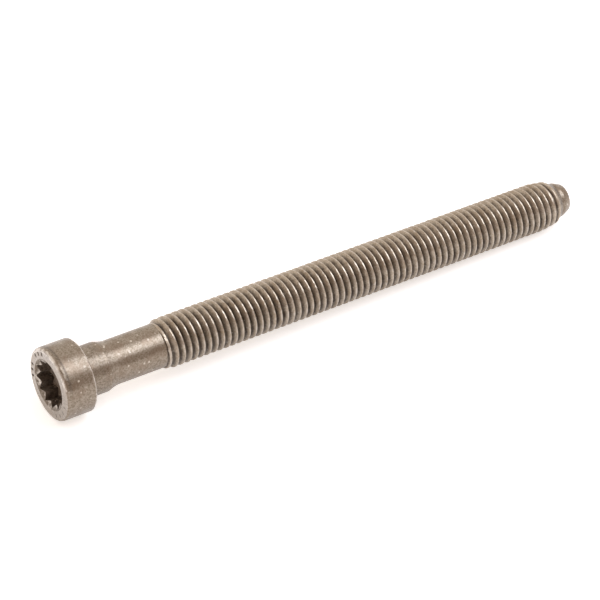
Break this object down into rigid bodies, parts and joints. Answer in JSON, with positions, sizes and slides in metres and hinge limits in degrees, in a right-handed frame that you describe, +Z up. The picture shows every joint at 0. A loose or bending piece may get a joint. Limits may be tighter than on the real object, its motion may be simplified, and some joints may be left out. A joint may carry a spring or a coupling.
{
  "type": "cylinder head bolt",
  "caption": "Long cylinder head bolt with a twelve-point socket, a guide collar under the head, a plain shank, a coarse metric thread and a short pilot.",
  "frame": {"origin": "middle of the base of the bolt's bounding box, on the surface that it lies on", "axes": "+X along the bolt from the head to the pilot, +Z up from the surface it lies on; the bolt's own axis leans 1.20 degrees down towards the pilot"},
  "size_m": [0.1452, 0.0174, 0.0175],
  "materials": {
    "phosphated_steel": "grey-brown phosphated and oiled steel, satin, worn bright on its edges"
  },
  "bodies": {
    "root": {"head_bolt": "phosphated_steel"}
  },
  "joints": []
}
